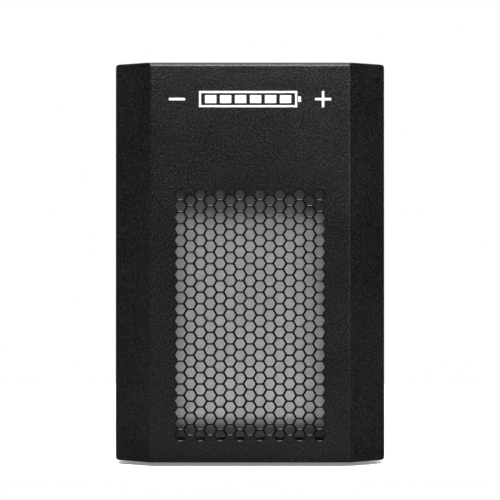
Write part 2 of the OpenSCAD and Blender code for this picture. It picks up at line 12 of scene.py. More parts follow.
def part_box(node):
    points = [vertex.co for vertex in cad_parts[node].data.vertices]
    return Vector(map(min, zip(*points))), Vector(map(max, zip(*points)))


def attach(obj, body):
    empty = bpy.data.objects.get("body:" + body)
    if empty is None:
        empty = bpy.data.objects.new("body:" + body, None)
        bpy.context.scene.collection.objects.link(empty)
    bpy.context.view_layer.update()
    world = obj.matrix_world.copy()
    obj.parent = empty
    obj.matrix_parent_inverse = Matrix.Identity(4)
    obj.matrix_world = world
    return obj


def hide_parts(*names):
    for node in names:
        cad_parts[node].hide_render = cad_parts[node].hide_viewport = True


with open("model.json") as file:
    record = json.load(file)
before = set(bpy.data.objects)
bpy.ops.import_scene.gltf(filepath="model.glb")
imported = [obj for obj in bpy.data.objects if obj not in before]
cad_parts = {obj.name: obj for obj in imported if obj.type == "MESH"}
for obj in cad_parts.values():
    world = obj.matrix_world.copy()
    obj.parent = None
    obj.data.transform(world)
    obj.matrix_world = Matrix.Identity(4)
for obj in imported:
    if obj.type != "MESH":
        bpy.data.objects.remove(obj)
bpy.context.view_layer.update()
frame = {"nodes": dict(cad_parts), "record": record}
NODES = frame["nodes"]
MM = 0.001

# Bezel, as in the CAD source
BEZEL_LOW, BEZEL_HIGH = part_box("front_bezel")
SLANT_W = 19.2 * MM
SLANT_D = 16 * MM
WALL = 2.5 * MM
HEX_AF = 5 * MM
HEX_PITCH = 6.08 * MM
HEX_COLS = 15
HEX_ROWS = 22
GRILLE_LOW = BEZEL_LOW.z + 14.3 * MM
HOOK_X = 54 * MM
HOOK_ZS = (42 * MM, 190 * MM)

# Rear panel and inner parts, as in the CAD source
BREAKER_X = -25 * MM
SOCKET_X = 42.75 * MM
POLE_X = 8.5 * MM
SOCKET_LOW_Z = 168 * MM
SOCKET_HIGH_Z = 201.5 * MM
EARTH_X = -52 * MM
EARTH_Z = 138 * MM
FOOT_SPOTS = [(x * MM, y * MM) for x in (-55, 55) for y in (-130, 150)]
FOOT_HOLE_R = 3 * MM
CLAMP_PAD_D = 18 * MM
PLATE_FOOT = 19.6 * MM

# Radii of the bezel's edges: at the top and foot of its sides, at the top of the face, at the ends of
# the slants and the foot of the face, and at the upright creases
EDGE_CORNER = 3 * MM
EDGE_FACE = 2.3 * MM
EDGE_END = 0.6 * MM
EDGE_CREASE = 0.5 * MM
# Radii of a hole's lip and of its corners
HEX_LIP = 0.45 * MM
HEX_CORNER = 0.4 * MM

# Printed signs: how far the film stands out, and the bezel's row of signs
FILM = 0.04 * MM
ROW_W = 86 * MM
ROW_H = 8.6 * MM
ROW_Z = BEZEL_LOW.z + 192.5 * MM

# The zinc plate's colour turns dark over this height above the lip at its foot: painted shade
PAINTED_SHADE_FOOT = 6.5 * MM

# Studio: the round floor, and the camera
FLOOR_R = 0.43
FLOOR_Y = 0.17
CAMERA_Y = -1.414
CAMERA_Z = 0.1146
CAMERA_LENS = 167.8

# Points closer than SAME are one point, and two coordinates closer than LEVEL are equal
SAME = 2e-6
LEVEL = 1e-6

# Material slots of the bezel
FACE, HOLE_SIDE, LOWER_LIP = 0, 1, 2


# ---------------------------------------------------------------- materials


class Shader:
    """A Principled material and short ways to add nodes to it, in the object's own coordinates."""

    def __init__(self, name, roughness=0.5, metallic=0.0, specular=0.5):
        self.material = bpy.data.materials.new(name)
        self.material.use_nodes = True
        tree = self.material.node_tree
        self.nodes, self.links = tree.nodes, tree.links
        self.bsdf = self.nodes["Principled BSDF"]
        self.bsdf.inputs["Roughness"].default_value = roughness
        self.bsdf.inputs["Metallic"].default_value = metallic
        self.bsdf.inputs["Specular IOR Level"].default_value = specular
        self.coords = self.nodes.new("ShaderNodeTexCoord").outputs["Object"]

    def mapped(self, scale):
        node = self.nodes.new("ShaderNodeMapping")
        node.inputs["Scale"].default_value = scale
        self.links.new(self.coords, node.inputs["Vector"])
        return node.outputs["Vector"]

    def noise(self, size, detail=2.0, rough=0.5, stretch=(1, 1, 1)):
        """Noise whose blobs are about size metres wide."""
        node = self.nodes.new("ShaderNodeTexNoise")
        node.inputs["Scale"].default_value = 1.0
        node.inputs["Detail"].default_value = detail
        node.inputs["Roughness"].default_value = rough
        self.links.new(self.mapped([s / size for s in stretch]), node.inputs["Vector"])
        return node.outputs["Fac"]

    def place(self):
        """The x, y and z of a point in metres, at rest."""
        node = self.nodes.new("ShaderNodeSeparateXYZ")
        self.links.new(self.coords, node.inputs["Vector"])
        return node.outputs

    def cells(self, size):
        """Distance from the middle of the nearest of many cells about size metres wide."""
        node = self.nodes.new("ShaderNodeTexVoronoi")
        node.inputs["Scale"].default_value = 1.0
        self.links.new(self.mapped([1 / size] * 3), node.inputs["Vector"])
        return node.outputs["Distance"]

    def span(self, value, low, high, to_low=0.0, to_high=1.0):
        """Maps low to high onto to_low to to_high, and no further."""
        node = self.nodes.new("ShaderNodeMapRange")
        for key, number in zip(
            ("From Min", "From Max", "To Min", "To Max"), (low, high, to_low, to_high)
        ):
            node.inputs[key].default_value = number
        self.links.new(value, node.inputs["Value"])
        return node.outputs["Result"]

    def blend(self, factor, a, b):
        """Mixes two colours, or a linked colour and a plain one."""
        node = self.nodes.new("ShaderNodeMix")
        node.data_type = "RGBA"
        self.links.new(factor, node.inputs["Factor"])
        for socket, value in ((node.inputs[6], a), (node.inputs[7], b)):
            if isinstance(value, (tuple, list)):
                socket.default_value = (*value[:3], 1.0)
            else:
                self.links.new(value, socket)
        return node.outputs[2]

    def calc(self, operation, a, b):
        node = self.nodes.new("ShaderNodeMath")
        node.operation = operation
        for socket, value in ((node.inputs[0], a), (node.inputs[1], b)):
            if isinstance(value, (int, float)):
                socket.default_value = value
            else:
                self.links.new(value, socket)
        return node.outputs["Value"]

    def colour(self, value):
        self.links.new(value, self.bsdf.inputs["Base Color"])

    def rough(self, value):
        self.links.new(value, self.bsdf.inputs["Roughness"])

    def bump(self, *layers):
        """Each layer is (height, depth in metres, strength)."""
        normal = None
        for height, depth, strength in layers:
            node = self.nodes.new("ShaderNodeBump")
            node.inputs["Distance"].default_value = depth
            node.inputs["Strength"].default_value = strength
            self.links.new(height, node.inputs["Height"])
            if normal is not None:
                self.links.new(normal, node.inputs["Normal"])
            normal = node.outputs["Normal"]
        self.links.new(normal, self.bsdf.inputs["Normal"])

    def edges(self, box, width=0.6 * MM):
        """1 along the edges of a (low, high) box, 0 elsewhere."""
        near = []
        for along, low, high in zip(self.place(), *box):
            away = self.calc("ABSOLUTE", self.calc("SUBTRACT", along, (low + high) / 2), 0.0)
            half = (high - low) / 2
            near.append(self.span(away, half - width, half - 0.3 * width))
        x, y, z = near
        pairs = [self.calc("MINIMUM", a, b) for a, b in ((x, y), (y, z), (x, z))]
        return self.calc("MAXIMUM", self.calc("MAXIMUM", pairs[0], pairs[1]), pairs[2])


def moulded(name, dark, light, grain, depth, roughness, specular=0.5, box=None):
    """Moulded plastic: an eroded grain, slow shifts of tone and gloss, and paler edges of box."""
    s = Shader(name, specular=specular)
    fine = s.noise(grain, 3.0, 0.6)
    broad = s.noise(40 * MM, 2.0)
    tone = s.calc("ADD", s.span(fine, 0.38, 0.65, 0, 0.8), s.span(broad, 0.3, 0.7, 0, 0.2))
    body = s.blend(tone, dark, light)
    if box:
        rub = s.calc("MULTIPLY", s.edges(box), s.span(s.noise(2 * MM, 3.0), 0.45, 0.7, 0, 0.5))
        body = s.blend(rub, body, [c * 2.2 + 0.01 for c in light])
    s.colour(body)
    s.rough(
        s.calc(
            "ADD",
            s.span(fine, 0.3, 0.7, roughness - 0.06, roughness + 0.06),
            s.span(s.noise(15 * MM, 3.0), 0.3, 0.7, -0.03, 0.03),
        )
    )
    s.bump((fine, depth, 0.6), (s.noise(grain * 5, 2.0), depth / 2, 0.2))
    return s.material


def powder_coat(name, dark, light, roughness=0.55, box=None):
    """Powder paint: orange peel, a fine fleck, and steel just showing on the edges of box."""
    s = Shader(name, specular=0.25)
    peel = s.noise(1.1 * MM, 2.0, 0.45)
    fine = s.noise(0.3 * MM, 2.0)
    body = s.blend(s.span(s.noise(60 * MM, 3.0), 0.3, 0.7), dark, light)
    if box:
        chip = s.calc("MULTIPLY", s.edges(box), s.span(s.noise(1.5 * MM, 4.0), 0.56, 0.64))
        body = s.blend(chip, body, (0.16, 0.16, 0.16))
    s.colour(body)
    s.rough(
        s.calc(
            "ADD",
            s.span(peel, 0.3, 0.7, roughness - 0.07, roughness + 0.07),
            s.span(fine, 0.3, 0.7, -0.04, 0.04),
        )
    )
    s.bump((peel, 0.05 * MM, 0.5), (fine, 0.02 * MM, 0.35))
    return s.material


def zinc_sheet(name):
    """Zinc-coated sheet: spangle, rolling marks along Z, white bloom, painted light that makes it paler
    low down, and painted shade at its foot.
    """
    s = Shader(name, metallic=0.35)
    fine = s.noise(0.8 * MM, 3.0, 0.65)
    height = s.place()["Z"]
    rolled = s.noise(0.6 * MM, 2.0, 0.5, (1, 1, 0.04))
    bloom = s.noise(25 * MM, 4.0, 0.6)
    spangle = s.span(s.cells(4 * MM), 0, 0.9)
    grey = s.blend(spangle, (0.46, 0.465, 0.455), (0.55, 0.555, 0.545))
    grey = s.blend(s.span(fine, 0.3, 0.7, 0, 0.4), grey, (0.64, 0.64, 0.62))
    grey = s.blend(s.span(bloom, 0.5, 0.8, 0, 0.4), grey, (0.60, 0.61, 0.60))
    # Painted light: the sheet turns paler low down, standing in for light bounced up from the floor
    grey = s.blend(s.span(height, 0.14, 0.03, 0, 0.85), grey, (0.9, 0.91, 0.88))
    grey = s.blend(s.span(fine, 0.6, 0.4, 0, 0.3), grey, (0.3, 0.3, 0.29))
    # Painted shade: the colour darkens towards the lip at the plate's foot
    foot = s.span(height, PLATE_FOOT + PAINTED_SHADE_FOOT, PLATE_FOOT, 0, 0.85)
    s.colour(s.blend(foot, grey, (0.05, 0.05, 0.05)))
    s.rough(
        s.calc(
            "ADD",
            s.span(fine, 0.3, 0.7, 0.42, 0.56),
            s.span(rolled, 0.3, 0.7, -0.05, 0.05),
        )
    )
    s.bump((rolled, 0.01 * MM, 0.4), (fine, 0.015 * MM, 0.5))
    return s.material


def plated(name, base, tint, roughness=0.28):
    """Plated fastener or contact: turning marks and a slight tint from the plating bath."""
    s = Shader(name, metallic=1.0)
    broad = s.noise(3 * MM, 3.0)
    scratch = s.noise(0.25 * MM, 3.0, 0.7, (1, 1, 6))
    s.colour(s.blend(s.span(broad, 0.35, 0.65), base, tint))
    s.rough(
        s.calc(
            "ADD",
            s.span(scratch, 0.3, 0.7, roughness - 0.08, roughness + 0.1),
            s.span(broad, 0.3, 0.7, -0.04, 0.06),
        )
    )
    s.bump((scratch, 0.01 * MM, 0.4))
    return s.material


def rubber(name):
    """Moulded rubber, matt and a little dusty."""
    s = Shader(name, specular=0.4)
    fine = s.noise(0.4 * MM, 3.0, 0.7)
    dust = s.noise(6 * MM, 4.0, 0.65)
    s.colour(s.blend(s.span(dust, 0.52, 0.8, 0, 0.5), (0.018, 0.018, 0.018), (0.06, 0.058, 0.055)))
    s.rough(s.span(fine, 0.3, 0.7, 0.72, 0.9))
    s.bump((fine, 0.04 * MM, 0.6))
    return s.material


def foam(name):
    """Closed-cell foam: pitted all over."""
    s = Shader(name, roughness=0.95, specular=0.2)
    cell = s.cells(0.7 * MM)
    s.colour(s.blend(s.span(cell, 0.1, 0.7), (0.03, 0.03, 0.032), (0.085, 0.085, 0.09)))
    s.bump((cell, 0.15 * MM, 0.8), (s.noise(4 * MM, 2.0), 0.2 * MM, 0.4))
    return s.material


def vinyl(name, dark, light):
    """Wire insulation: smooth with faint extrusion lines and dulled patches."""
    s = Shader(name)
    broad = s.noise(9 * MM, 3.0)
    fine = s.noise(0.3 * MM, 2.0)
    s.colour(s.blend(s.span(broad, 0.3, 0.7), dark, light))
    s.rough(s.calc("ADD", s.span(broad, 0.3, 0.7, 0.3, 0.42), s.span(fine, 0.3, 0.7, -0.03, 0.03)))
    s.bump((fine, 0.01 * MM, 0.4))
    return s.material


def ink(name):
    """Screen-printed white: a thin, slightly uneven film that shows the grain under it."""
    s = Shader(name)
    grain = s.noise(0.35 * MM, 3.0, 0.6)
    s.colour(s.blend(s.span(grain, 0.38, 0.6), (0.52, 0.53, 0.53), (0.72, 0.73, 0.73)))
    s.rough(s.span(grain, 0.3, 0.7, 0.45, 0.6))
    s.bump((grain, 0.02 * MM, 0.5))
    return s.material


MATERIALS = {
    "bezel_plastic": moulded(
        "bezel_plastic",
        # Its tone swings widely with the grain: partly the grain's own tone, partly painted glints
        (0.0002, 0.0002, 0.0002),
        (0.013, 0.0139, 0.0128),
        grain=0.9 * MM,
        depth=0.38 * MM,
        roughness=0.2,
        specular=0.31,
        box=(BEZEL_LOW, BEZEL_HIGH),
    ),
    "case_paint": powder_coat(
        "case_paint", (0.010, 0.010, 0.0105), (0.014, 0.014, 0.0145), box=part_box("outer_cover")
    ),
    "tray_paint": powder_coat("tray_paint", (0.10, 0.10, 0.10), (0.13, 0.13, 0.13), 0.5),
    "zinc_sheet": zinc_sheet("zinc_sheet"),
    "zinc_fastener": plated("zinc_fastener", (0.60, 0.61, 0.63), (0.70, 0.70, 0.68)),
    "black_screw": powder_coat("black_screw", (0.016, 0.016, 0.017), (0.024, 0.024, 0.025), 0.35),
    "foot_rubber": rubber("foot_rubber"),
    "foam_pad": foam("foam_pad"),
    "battery_case_plastic": moulded(
        "battery_case_plastic", (0.075, 0.080, 0.090), (0.095, 0.100, 0.110), 0.8 * MM, 0.02 * MM, 0.38
    ),
    "battery_lid_plastic": moulded(
        "battery_lid_plastic", (0.045, 0.050, 0.056), (0.060, 0.064, 0.070), 0.8 * MM, 0.02 * MM, 0.42
    ),
    "tinned_contact": plated("tinned_contact", (0.66, 0.66, 0.64), (0.74, 0.73, 0.70), 0.33),
    "stud_brass": plated("stud_brass", (0.66, 0.50, 0.24), (0.76, 0.60, 0.32), 0.25),
    "breaker_plastic": moulded(
        "breaker_plastic", (0.018, 0.018, 0.020), (0.028, 0.028, 0.030), 0.5 * MM, 0.03 * MM, 0.45
    ),
    "handle_plastic": moulded(
        "handle_plastic", (0.66, 0.66, 0.62), (0.74, 0.74, 0.70), 0.9 * MM, 0.01 * MM, 0.3
    ),
    "connector_plastic": moulded(
        "connector_plastic", (0.17, 0.18, 0.19), (0.22, 0.23, 0.24), 0.6 * MM, 0.03 * MM, 0.42
    ),
    "red_insulation": vinyl("red_insulation", (0.36, 0.018, 0.014), (0.48, 0.03, 0.024)),
    "black_insulation": vinyl("black_insulation", (0.014, 0.014, 0.014), (0.024, 0.024, 0.024)),
}

# The ribs and hole sides are painted darker than the bezel's face, as painted shade, and are duller;
# each hole's lower lip is smoother
HOLE_LIP = moulded(
    "hole_lip", (0.003, 0.0033, 0.0030), (0.007, 0.0077, 0.0070), 0.8 * MM, 0.02 * MM, 0.3, 0.6
)
HOLE_SIDES_PAINTED_SHADE = moulded(
    "hole_sides_painted_shade", (0.002, 0.0021, 0.0021), (0.004, 0.0042, 0.0041), 0.8 * MM, 0.03 * MM, 0.6, 0.05
)
WHITE_INK = ink("white_ink")


# ---------------------------------------------------------------- mesh helpers


def new_object(name, bm, material, body, angle=40):
    """Makes a piece from a bmesh, shades it smooth up to angle and puts it on its CAD body."""
    mesh = bpy.data.meshes.new(name)
    bm.to_mesh(mesh)
    bm.free()
    mesh.materials.append(material)
    mesh.shade_smooth()
    mesh.set_sharp_from_angle(angle=math.radians(angle))
    obj = bpy.data.objects.new(name, mesh)
    bpy.context.scene.collection.objects.link(obj)
    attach(obj, body)
    return obj


def weighted_normals(obj):
    """Shades flat faces flat, up to the rounded edges between them."""
    modifier = obj.modifiers.new("Even faces", "WEIGHTED_NORMAL")
    modifier.keep_sharp = True


def add_box(bm, low, high, radius):
    """Adds a block with rounded edges to bm."""
    part = bmesh.new()
    bmesh.ops.create_cube(part, size=1.0)
    size = Vector(high) - Vector(low)
    middle = (Vector(high) + Vector(low)) / 2
    bmesh.ops.scale(part, vec=size, verts=part.verts)
    bmesh.ops.translate(part, vec=middle, verts=part.verts)
    bmesh.ops.bevel(
        part, geom=part.edges[:], offset=radius, segments=2, profile=0.5, affect="EDGES"
    )
    copy_into(bm, part)


def copy_into(bm, part):
    """Adds part to bm and frees it."""
    mesh = bpy.data.meshes.new("part")
    part.to_mesh(mesh)
    part.free()
    bm.from_mesh(mesh)
    bpy.data.meshes.remove(mesh)


def bevelled(bm, width, segments=5):
    """A new bmesh with each edge rounded to width times its bevel weight. It frees bm."""
    mesh = bpy.data.meshes.new("work")
    bm.to_mesh(mesh)
    bm.free()
    obj = bpy.data.objects.new("work", mesh)
    bpy.context.scene.collection.objects.link(obj)
    modifier = obj.modifiers.new("Edges", "BEVEL")
    modifier.width = width
    modifier.segments = segments
    modifier.limit_method = "WEIGHT"
    done = bmesh.new()
    done.from_object(obj, bpy.context.evaluated_depsgraph_get())
    bpy.data.objects.remove(obj)
    bpy.data.meshes.remove(mesh)
    return done


def fill_region(bm, place, loops, keep, inside=()):
    """Fills between closed loops of (a, b) points with triangles whose middle passes keep.

    place turns (a, b) into a point in space. inside lists more (a, b) points for the triangles to use.
    """
    points, edges = [], []
    for loop in loops:
        first = len(points)
        points += [Vector(p) for p in loop]
        edges += [(first + k, first + (k + 1) % len(loop)) for k in range(len(loop))]
    points += [Vector(p) for p in inside]
    flat, _, faces, *_ = delaunay_2d_cdt(points, edges, [], 0, 1e-7)
    verts = [bm.verts.new(place(p.x, p.y)) for p in flat]
    for face in faces:
        a = sum(flat[i].x for i in face) / len(face)
        b = sum(flat[i].y for i in face) / len(face)
        if keep(a, b):
            bm.faces.new([verts[i] for i in face])
    bmesh.ops.delete(bm, geom=[v for v in verts if not v.link_faces], context="VERTS")


def at_y(y):
    """Puts (x, z) points in the upright plane at y."""
    return lambda x, z: (x, y, z)


def at_z(z):
    """Puts (x, y) points in the level plane at z."""
    return lambda x, y: (x, y, z)


def rect(x0, x1, z0, z1, radius=0.0, steps=4):
    """A rectangle with rounded corners, as points in order."""
    if not radius:
        return [(x0, z0), (x1, z0), (x1, z1), (x0, z1)]
    points = []
    corners = ((x1, z1, 0), (x0, z1, 90), (x0, z0, 180), (x1, z0, 270))
    for x, z, start in corners:
        cx = x - radius if x == x1 else x + radius
        cz = z - radius if z == z1 else z + radius
        for k in range(steps + 1):
            a = math.radians(start + 90 * k / steps)
            points.append((cx + radius * math.cos(a), cz + radius * math.sin(a)))
    return points


def circle(x, z, radius, steps=20):
    """A circle, as points in order."""
    turns = [2 * math.pi * k / steps for k in range(steps)]
    return [(x + radius * math.cos(a), z + radius * math.sin(a)) for a in turns]


def lies_at(part, y):
    """Whether all corners of an edge or face lie at y."""
    return all(abs(v.co.y - y) < LEVEL for v in part.verts)


def boundary_loop(bm, y):
    """The open edge of bm that lies at y, as (x, z) points in order."""
    edges = [e for e in bm.edges if e.is_boundary and lies_at(e, y)]
    nexts = {}
    for e in edges:
        nexts.setdefault(e.verts[0], []).append(e.verts[1])
        nexts.setdefault(e.verts[1], []).append(e.verts[0])
    start = edges[0].verts[0]
    loop, last, here = [start], None, start
    while True:
        step = [v for v in nexts[here] if v is not last][0]
        if step is start:
            return [(v.co.x, v.co.z) for v in loop]
        loop.append(step)
        last, here = here, step


# ---------------------------------------------------------------- bezel


def plan_points(inset):
    """Corners of the bezel's plan, from the right rear round the front to the left rear."""
    angle = math.atan(SLANT_D / SLANT_W)
    half = BEZEL_HIGH.x
    side_y = BEZEL_LOW.y + SLANT_D + inset * math.cos(angle) / (1 + math.sin(angle))
    face_x = half - SLANT_W - inset * math.tan(angle / 2)
    right = [(half - inset, BEZEL_HIGH.y), (half - inset, side_y), (face_x, BEZEL_LOW.y + inset)]
    return right + [(-x, y) for x, y in reversed(right)]


def open_shell(inset, rounded):
    """The bezel's skin, open at the rear and at the front face, with its edges rounded or not."""
    bm = bmesh.new()
    plan = plan_points(inset)
    low, high = BEZEL_LOW.z + inset, BEZEL_HIGH.z - inset
    rings = [[bm.verts.new((x, y, z)) for x, y in plan] for z in (low, high)]
    for k in range(len(plan) - 1):
        bm.faces.new((rings[0][k], rings[0][k + 1], rings[1][k + 1], rings[1][k]))
    bm.faces.new(reversed(rings[0]))
    bm.faces.new(rings[1])
    if rounded:
        weight = bm.edges.layers.float.new("bevel_weight_edge")
        for e in bm.edges:
            a, b = (v.co for v in e.verts)
            if lies_at(e, BEZEL_HIGH.y):
                continue
            if abs(a.z - b.z) > LEVEL:
                radius = EDGE_CREASE
            elif abs(a.x - b.x) < LEVEL:
                radius = EDGE_CORNER
            elif abs(a.y - b.y) < LEVEL and abs(a.z - high) < LEVEL:
                radius = EDGE_FACE
            else:
                radius = EDGE_END
            e[weight] = radius / EDGE_CORNER
        bm = bevelled(bm, EDGE_CORNER)
    for y in (BEZEL_LOW.y + inset, BEZEL_HIGH.y):
        ends = [f for f in bm.faces if lies_at(f, y)]
        bmesh.ops.delete(bm, geom=ends, context="FACES")
    return bm


def cell_centres():
    """The middles of the grille's holes, column by column, as (x, z) pairs."""
    step = HEX_PITCH * math.sqrt(3) / 2
    return [
        ((i - (HEX_COLS - 1) / 2) * step, GRILLE_LOW + (j + (i % 2) / 2) * HEX_PITCH)
        for i in range(HEX_COLS)
        for j in range(HEX_ROWS - i % 2)
    ]


def hex_ring(across, corner, points=3):
    """A hexagon with rounded corners, its points to left and right, as (x, z) pairs."""
    ring = []
    reach = (across / 2 - corner) / math.cos(math.radians(30))
    for k in range(6):
        mid = math.radians(60 * k)
        for t in range(points):
            turn = mid + math.radians(-30 + 60 * t / (points - 1))
            ring.append(
                (
                    reach * math.cos(mid) + corner * math.cos(turn),
                    reach * math.sin(mid) + corner * math.sin(turn),
                )
            )
    return ring


def hex_profile(steps=4):
    """(how far the wall stands outside the hole's size, y) from the front face to the back."""
    front, back = BEZEL_LOW.y, BEZEL_LOW.y + WALL
    turns = [math.radians(90 * k / steps) for k in range(steps + 1)]
    lip = [(HEX_LIP * (1 - math.sin(a)), HEX_LIP * (1 - math.cos(a))) for a in turns]
    return [(out, front + deep) for out, deep in lip] + [
        (out, back - deep) for out, deep in reversed(lip)
    ]


def add_grille(bm):
    """All cells of the grille, front face, hole walls and back face."""
    profile = hex_profile()
    rings = [(hex_ring(HEX_AF + 2 * out, HEX_CORNER + out), y) for out, y in profile]
    rim = hex_ring(HEX_PITCH, 0.0, 2)[::2]
    count = len(rings[0][0])
    # The wall that faces up at the foot of a hole, between its fifth and its sixth corner of 3 points
    lower_side = 3 * 4 + 2
    for cx, cz in cell_centres():
        loops = [[bm.verts.new((cx + x, y, cz + z)) for x, z in ring] for ring, y in rings]
        # Hole walls take the hole sides' material, darkened as painted shade, all but the lower lip
        for a, b in zip(loops, loops[1:]):
            for k in range(count):
                wall = bm.faces.new((a[k], a[(k + 1) % count], b[(k + 1) % count], b[k]))
                wall.material_index = LOWER_LIP if k == lower_side else HOLE_SIDE
        # The web fronts between holes take the hole sides' material, darkened as painted shade; the back
        # face takes the face's
        for loop, y, slot in (
            (loops[0], BEZEL_LOW.y, HOLE_SIDE),
            (loops[-1], BEZEL_LOW.y + WALL, FACE),
        ):
            outer = [bm.verts.new((cx + x, y, cz + z)) for x, z in rim]
            for k in range(6):
                a, b, c = loop[3 * k : 3 * k + 3]
                d = loop[(3 * k + 3) % count]
                last = outer[(k + 1) % 6]
                for corners in ((outer[k], a, b), (outer[k], b, c), (outer[k], c, d, last)):
                    bm.faces.new(corners).material_index = slot


def grille_outline():
    """The jagged edge of the cells together, as one closed loop of (x, z) points."""
    rim = hex_ring(HEX_PITCH, 0.0, 2)[::2]
    places, uses = {}, {}

    def key(p):
        """The same for all points within a few thousandths of a millimetre."""
        return tuple(round(value / (0.005 * MM)) for value in p)

    for cx, cz in cell_centres():
        corners = [(cx + x, cz + z) for x, z in rim]
        for a, b in zip(corners, corners[1:] + corners[:1]):
            ka, kb = key(a), key(b)
            places.setdefault(ka, a)
            places.setdefault(kb, b)
            uses.setdefault(frozenset((ka, kb)), []).append((ka, kb))
    nexts = {pairs[0][0]: pairs[0][1] for pairs in uses.values() if len(pairs) == 1}
    start = next(iter(nexts))
    loop, here = [start], nexts[start]
    while here != start:
        loop.append(here)
        here = nexts[here]
    return [places[k] for k in loop]


def in_grille(x, z):
    """Whether a point of the face lies in one of the grille's cells."""
    half = HEX_PITCH / 2
    for cx, cz in cell_centres():
        dx, dz = abs(x - cx), abs(z - cz)
        if dz < half and dz / 2 + dx * math.sqrt(3) / 2 < half:
            return True
    return False


def build_bezel():
    """The bezel's shell with its grille, hooks and frame, in place of the CAD bezel."""
    outline = grille_outline()
    bm = bmesh.new()
    rear_loops = []
    for inset, rounded in ((0.0, True), (WALL, False)):
        shell = open_shell(inset, rounded)
        y = BEZEL_LOW.y + inset
        front_loop = boundary_loop(shell, y)
        rear_loops.append(boundary_loop(shell, BEZEL_HIGH.y))
        fill_region(shell, at_y(y), [front_loop, outline], lambda x, z: not in_grille(x, z))
        copy_into(bm, shell)
    inner_x = BEZEL_HIGH.x - WALL
    inner_low, inner_high = BEZEL_LOW.z + WALL, BEZEL_HIGH.z - WALL
    fill_region(
        bm,
        at_y(BEZEL_HIGH.y),
        rear_loops,
        lambda x, z: abs(x) > inner_x or not inner_low < z < inner_high,
    )
    add_grille(bm)
    bmesh.ops.remove_doubles(bm, verts=bm.verts, dist=SAME)
    bmesh.ops.recalc_face_normals(bm, faces=bm.faces)
    add_bezel_inside(bm)
    piece = new_object("bezel_shell", bm, MATERIALS["bezel_plastic"], "bezel")
    piece.data.materials.append(HOLE_SIDES_PAINTED_SHADE)
    piece.data.materials.append(HOLE_LIP)
    weighted_normals(piece)
    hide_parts("front_bezel")


def add_bezel_inside(bm):
    """Snap hooks and the stiffening frame behind the grille."""
    back = BEZEL_LOW.y + WALL - 0.1 * MM
    plate_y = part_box("access_plate")[0].y
    catch = plate_y + 2.5 * MM
    half = (HEX_COLS - 1) / 2 * HEX_PITCH * math.sqrt(3) / 2 + HEX_AF / 2 + 2.5 * MM
    height = (HEX_ROWS - 1) * HEX_PITCH
    low, high = GRILLE_LOW - 6 * MM, GRILLE_LOW + height + 6 * MM
    rib_y = BEZEL_LOW.y + 7 * MM
    for side in (-1, 1):
        for z in HOOK_ZS:
            x = side * HOOK_X
            add_box(
                bm,
                (x - 1.5 * MM, back, z - 5 * MM),
                (x + 1.5 * MM, catch, z + 5 * MM),
                0.3 * MM,
            )
            tip = sorted((x + side * MM, x + side * 2.6 * MM))
            add_box(
                bm,
                (tip[0], plate_y + 1.3 * MM, z - 5 * MM),
                (tip[1], catch, z + 5 * MM),
                0.3 * MM,
            )
        rib = sorted((side * half, side * (half + 1.5 * MM)))
        add_box(bm, (rib[0], back, low), (rib[1], rib_y, high), 0.25 * MM)
    add_box(bm, (-half, back, high - 1.5 * MM), (half, rib_y, high), 0.25 * MM)


# ---------------------------------------------------------------- printed signs


def add_film(bm, loops, front, thick):
    """Adds thin flat shapes, one for each loop of (x, z) points, from front to front + thick."""
    for loop in loops:
        near = [bm.verts.new((x, front, z)) for x, z in loop]
        far = [bm.verts.new((x, front + thick, z)) for x, z in loop]
        bm.faces.new(near)
        bm.faces.new(far[::-1])
        for k in range(len(loop)):
            j = (k + 1) % len(loop)
            bm.faces.new((near[j], near[k], far[k], far[j]))


def sign_ring(x, z, radius, stroke, steps=18):
    """A ring cut into two closed halves, so that each is one plain outline."""
    halves = []
    for start in (0, 180):
        turn = [math.radians(start + 180 * k / steps) for k in range(steps + 1)]
        out = [(x + radius * math.cos(a), z + radius * math.sin(a)) for a in turn]
        inner = radius - stroke
        back = [(x + inner * math.cos(a), z + inner * math.sin(a)) for a in reversed(turn)]
        halves.append(out + back)
    return halves


def sign_bar(x, z, width, height):
    """A bar about (x, z)."""
    return [rect(x - width / 2, x + width / 2, z - height / 2, z + height / 2)]


def sign_earth(x, z, size, stroke):
    """Protective earth: a stem and three bars in a ring."""
    shapes = sign_ring(x, z, size / 2, stroke)
    shapes += sign_bar(x, z + 0.17 * size, stroke, 0.26 * size)
    for k, width in enumerate((0.5, 0.32, 0.14)):
        shapes += sign_bar(x, z + (0.02 - 0.13 * k) * size, width * size, stroke)
    return shapes


def sign_direct_current(x, z, size, stroke):
    """A solid line over a dashed one."""
    shapes = sign_bar(x, z + 1.1 * stroke, size, stroke)
    for k in (-1, 0, 1):
        shapes += sign_bar(x + k * size * 0.37, z - 1.1 * stroke, size * 0.26, stroke)
    return shapes


def sign_battery(x0, x1, z0, z1, stroke, bars):
    """A battery's outline in four strips, its tip, and charge bars inside."""
    shapes = [
        rect(x0, x1, z1 - stroke, z1),
        rect(x0, x1, z0, z0 + stroke),
        rect(x0, x0 + stroke, z0 + stroke, z1 - stroke),
        rect(x1 - stroke, x1, z0 + stroke, z1 - stroke),
    ]
    third = (z1 - z0) / 3
    shapes.append(rect(x1 + 0.5 * MM, x1 + 2 * MM, z0 + third, z1 - third))
    inside = x1 - x0 - 4 * stroke
    pitch = inside / bars
    for k in range(bars):
        start = x0 + 2 * stroke + k * pitch + 0.12 * pitch
        shapes.append(rect(start, start + 0.76 * pitch, z0 + 2 * stroke, z1 - 2 * stroke, 0.3 * MM))
    return shapes


def sign_plus(x, z, size, stroke):
    """A plus about (x, z), in three rectangles that don't overlap."""
    return [
        rect(x - size / 2, x + size / 2, z - stroke / 2, z + stroke / 2),
        rect(x - stroke / 2, x + stroke / 2, z + stroke / 2, z + size / 2),
        rect(x - stroke / 2, x + stroke / 2, z - size / 2, z - stroke / 2),
    ]


